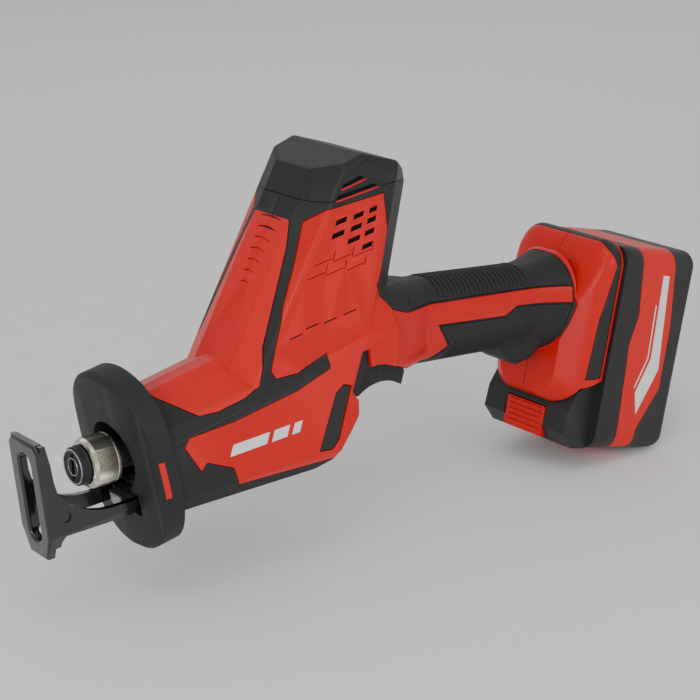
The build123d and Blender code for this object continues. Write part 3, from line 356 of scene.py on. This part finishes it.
def vent_outline(x, z, width, height, y):
    """A slanted four-sided opening."""
    rise = tan(ROW_SLOPE) * width
    lean = COLUMN_LEAN * height
    return [mm(x, y, z), mm(x + width, y, z + rise), mm(x + width + lean, y, z + rise + height),
            mm(x + lean, y, z + height)]


for side, side_name in ((-1, "left"), (1, "right")):
    panel = nodes[f"side_panel_{side_name}"]
    inward = Vector((0, -side, 0))
    vents = Shape()
    for column, (front, width, rows) in enumerate(VENT_COLUMNS):
        for row, z in enumerate(rows):
            x = front - COLUMN_LEAN * (rows[0] - z) - 0.35 * column * row
            grown = width * (1 + 0.12 * row)
            vents.prism(vent_outline(x, z - VENT_HEIGHT / 2, grown, VENT_HEIGHT, side * (PANEL_HALF + 1)),
                        inward, 2.8 * MM)
    carve(panel, vents, painted_recess_shade, f"cutter_vents_{side_name}")
    # Tile lines that go on below the vents, engraved and not cut through
    tiles = Shape()
    for row, z in enumerate((79.5, 73.5)):
        for column, front in enumerate((117.5, 129.0, 141.0)):
            x = front - COLUMN_LEAN * 6 * row + 3 * (1 - row)
            tiles.prism(vent_outline(x, z - 1.4, 10.5, 0.35, side * (PANEL_HALF + 1)), inward, 1.35 * MM)
            tiles.prism(vent_outline(x + 11.0, z - 0.8, 0.4, 4.6, side * (PANEL_HALF + 1)), inward, 1.35 * MM)
    for front, z in ((104.5, 45.0), (114.0, 48.0), (125.0, 48.6), (137.0, 50.2)):
        tiles.prism(vent_outline(front, z, 7.5, 0.7, side * (PANEL_HALF + 1)), inward, 1.4 * MM)
    carve(panel, tiles, painted_recess_shade, f"cutter_tiles_{side_name}")
    # Two slanted slots with a red lower edge in the cap
    cap_slots = Shape()
    edges = Shape()
    for x, z, width in ((138.0, 112.0, 15.0), (134.6, 106.9, 26.0)):
        cap_slots.prism([mm(x, side * 31, z + 0.7), mm(x + width - 1, side * 31, z + 3.9),
                         mm(x + width - 4, side * 31, z + 5.2), mm(x + 1.2, side * 31, z + 2.8)],
                        inward, 2.6 * MM)
        path = [mm(x + width * step / 4, side * PANEL_HALF, z + 3.0 * step / 4) for step in range(5)]
        edges.bead(path, [-inward] * 5, 0.9 * MM, 0.3 * MM)
    piece(f"cap_slot_edges_{side_name}", edges.points, edges.faces, "housing", "red_shell", smooth=True)
    for holder in ("tower_cap", f"overmould_{side_name}"):
        carve(nodes[holder], cap_slots, painted_recess_shade, f"cutter_cap_{holder}_{side_name}")

for node_name, width in EDGE_ROUND.items():
    soften(nodes[node_name], width)

# ---------------------------------------------------------------------------
# Handle: cross ribs on the top grip and slanted ribs on the lower grip
# ---------------------------------------------------------------------------

HANDLE_SLOPE = tan(radians(5.7))


def handle_axis(x):
    """The handle's axis at a distance along X."""
    return mm(x, 0, 28.0 - HANDLE_SLOPE * (x - 186))


top_skin = surface("top_grip")
ribs = Shape()
RIB_COUNT = 21
for index in range(RIB_COUNT):
    x = 211.5 + 3.05 * index
    path, normals = [], []
    reach = 74 - 10 * abs(index / (RIB_COUNT - 1) - 0.35)
    for step in range(25):
        angle = radians(-reach + 2 * reach * step / 24)
        inward = -Vector((0, sin(angle), cos(angle)))
        # The ribs bow towards the tower at their lower ends
        start = handle_axis(x - 2.5 * (1 - cos(angle))) - inward * 60 * MM
        hit, normal = project(top_skin, start, inward)
        if hit is not None:
            path.append(hit)
            normals.append(normal)
    if len(path) > 3:
        ribs.bead(path, normals, 1.9 * MM, 0.75 * MM)
piece("grip_ribs", ribs.points, ribs.faces, "housing", "black_overmould", smooth=True)

low_skin = surface("lower_grip")
low_ribs = Shape()
for side in (-1, 1):
    for index in range(24):
        x = 213.5 + 2.35 * index
        path, normals = [], []
        for step in range(9):
            share = step / 8
            start = mm(x + 5.5 * share, side * 60, 4.5 + 10.5 * share - 0.1 * (index - 5))
            hit, normal = project(low_skin, start, Vector((0, -side, 0)))
            if hit is not None and abs(normal.y) > 0.35:
                path.append(hit)
                normals.append(normal)
        if len(path) > 2:
            low_ribs.bead(path, normals, 1.1 * MM, 0.5 * MM)
piece("lower_grip_ribs", low_ribs.points, low_ribs.faces, "housing", "black_overmould", smooth=True)

# ---------------------------------------------------------------------------
# Release collar: a turned ring with axial flutes and flat patches
# ---------------------------------------------------------------------------

collar_low, collar_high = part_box("release_collar")
COLLAR_R = collar_high.z
FLUTES = 76
STEPS = FLUTES * 4
# Along X from the cone's tip: position, radius and how deep the flutes run
COLLAR_PROFILE = [
    (5.0, 10.2, 0), (5.6, 11.3, 1), (6.8, 12.0, 1), (7.2, 12.25, 1), (17.6, 12.25, 1), (17.8, 12.3, 0),
    (18.9, 12.3, 0), (19.6, 11.7, 0), (19.6, 10.3, 0), (9.0, 10.3, 0), (9.0, 7.55, 0), (5.0, 7.55, 0),
]
collar_points, collar_faces = [], []
for x, radius, fluted in COLLAR_PROFILE:
    for step in range(STEPS):
        angle = 2 * pi * step / STEPS
        depth = (0, 0.2, 0.42, 0.2)[step % 4] if fluted else 0
        patch = abs((angle + pi / 3) % (2 * pi / 3) - pi / 3) < 0.28
        r = min((radius - (0.1 if patch else depth)) * MM, COLLAR_R)
        collar_points.append(Vector((x * MM, r * cos(angle), r * sin(angle))))
rows = len(COLLAR_PROFILE)
for row in range(rows):
    after_row = (row + 1) % rows
    for step in range(STEPS):
        after = (step + 1) % STEPS
        collar_faces.append((row * STEPS + step, row * STEPS + after, after_row * STEPS + after,
                             after_row * STEPS + step))
collar = piece("release_collar_fluted", collar_points, collar_faces, "collar", "nickel")
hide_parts("release_collar")

# ---------------------------------------------------------------------------
# Clamp front: two raised rims
# ---------------------------------------------------------------------------

rim = Shape()
for radius, height, width in ((8.2, 0.35, 0.8), (4.2, 0.3, 0.6)):
    path = [mm(0.0, radius * cos(2 * pi * step / 48), radius * sin(2 * pi * step / 48)) for step in range(49)]
    rim.bead(path, [Vector((-1, 0, 0))] * 49, width * MM, height * MM)
piece("clamp_rims", rim.points, rim.faces, "plunger", "steel", smooth=True)

# ---------------------------------------------------------------------------
# Plain stripe mark on the lower side panels, in place of lettering
# ---------------------------------------------------------------------------

STRIPE_START = 66.0               # X of the first stripe's front end
STRIPE_LEAN = 2.0                 # how far a stripe's top edge sits behind its bottom edge
STRIPE_CLIMB = 0.05               # the row of stripes climbs towards the rear

for side, side_name in ((-1, "left"), (1, "right")):
    target = surface(f"side_panel_{side_name}")
    inward = Vector((0, -side, 0))
    mark = Shape()
    for start, length in ((STRIPE_START, 21.0), (90.0, 9.0), (102.0, 4.5)):
        corners = []
        stripe = ((start, -3.2), (start + length, -3.2), (start + length + STRIPE_LEAN, 2.2),
                  (start + STRIPE_LEAN, 2.2))
        for x, z in stripe:
            hit, _ = project(target, mm(x, side * 60, z + STRIPE_CLIMB * (x - STRIPE_START)), inward)
            if hit is not None:
                corners.append(hit - inward * 0.12 * MM)
        if len(corners) == 4:
            mark.prism(corners, inward, 0.5 * MM)
    piece(f"stripe_mark_{side_name}", mark.points, mark.faces, "housing", "white_decal")

# ---------------------------------------------------------------------------
# Battery: a thin line beside the bent stripe on both sides
# ---------------------------------------------------------------------------

pack_low, pack_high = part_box("pack_band")
PACK_LEAN = radians(14)
pack_back = Vector((cos(PACK_LEAN), 0, -sin(PACK_LEAN)))
pack_up = Vector((sin(PACK_LEAN), 0, cos(PACK_LEAN)))
PACK_FACE = mm(314.4, 0, 9.3)     # a point on the battery's sliding face


def on_pack(depth, height, y):
    """A point on the battery, from its depth behind the sliding face and its height, in millimetres."""
    point = PACK_FACE + (pack_back * depth + pack_up * height) * MM
    return Vector((point.x, y, point.z))


for side, side_name in ((-1, "left"), (1, "right")):
    line = Shape()
    outward = Vector((0, side, 0))
    edge_y = pack_high.y if side > 0 else pack_low.y
    corners = [on_pack(29.2, 10, edge_y), on_pack(30.6, -19.5, edge_y), on_pack(24.2, -36.5, edge_y)]
    path = []
    for begin, end in zip(corners, corners[1:]):
        path += [begin.lerp(end, step / 4) for step in range(4)]
    path.append(corners[-1])
    line.bead(path, [outward] * len(path), 0.8 * MM, 0.15 * MM)
    piece(f"pack_line_{side_name}", line.points, line.faces, "battery", "white_decal")

# ---------------------------------------------------------------------------
# Floor, light and camera
# ---------------------------------------------------------------------------

floor_z = cad_box[0].z - 0.0005
floor_mesh = bpy.data.meshes.new("floor")
REACH = 30
floor_mesh.from_pydata([(-REACH, -REACH, floor_z), (REACH, -REACH, floor_z), (REACH, REACH, floor_z),
                        (-REACH, REACH, floor_z)], [], [(0, 1, 2, 3)])
floor = bpy.data.objects.new("floor", floor_mesh)
bpy.context.scene.collection.objects.link(floor)
floor_mesh.materials.append(finish("floor_paint", (0.93, 0.93, 0.93), 0.9, spread=0.01, relief=0.0))

ROOM_LIGHT = 0.62
world = bpy.data.worlds.new("studio")
bpy.context.scene.world = world
world.use_nodes = True
world.node_tree.nodes["Background"].inputs["Color"].default_value = (1, 1, 1, 1)
world.node_tree.nodes["Background"].inputs["Strength"].default_value = ROOM_LIGHT


def soft_light(name, place, target, size, power):
    """A large square studio light that faces a point."""
    data = bpy.data.lights.new(name, "AREA")
    data.shape = "SQUARE"
    data.size = size
    data.energy = power
    lamp = bpy.data.objects.new(name, data)
    lamp.location = place
    lamp.rotation_euler = (Vector(target) - Vector(place)).to_track_quat("-Z", "Y").to_euler()
    bpy.context.scene.collection.objects.link(lamp)


middle = (0.17, 0, 0.03)
soft_light("key", (-1.1, -0.9, 0.55), middle, 0.6, 8)
soft_light("side", (0.5, -1.5, 0.5), middle, 0.8, 4)
soft_light("top", (-0.3, -0.5, 1.4), middle, 0.8, 3)
soft_light("rear", (0.9, 1.1, 0.8), middle, 0.8, 1)

FOCAL = 102.86                    # millimetres on a 36 mm wide sensor
CAMERA_PLACE = Vector((-0.4188, -0.7581, 0.3445))
AZIMUTH, ELEVATION, ROLL = radians(-37.5), radians(18.8), radians(1.7)
ahead = Vector((-sin(AZIMUTH) * cos(ELEVATION), cos(AZIMUTH) * cos(ELEVATION), -sin(ELEVATION)))
level = ahead.cross(Vector((0, 0, 1))).normalized()
below = ahead.cross(level)
right = cos(ROLL) * level + sin(ROLL) * below
down = cos(ROLL) * below - sin(ROLL) * level
lens = bpy.data.cameras.new("camera")
lens.lens = FOCAL
lens.sensor_width = 36
lens.clip_start = 0.01
camera = bpy.data.objects.new("camera", lens)
turn = Matrix((right, -down, -ahead)).transposed().to_4x4()
camera.matrix_world = Matrix.Translation(CAMERA_PLACE) @ turn
bpy.context.scene.collection.objects.link(camera)
bpy.context.scene.camera = camera
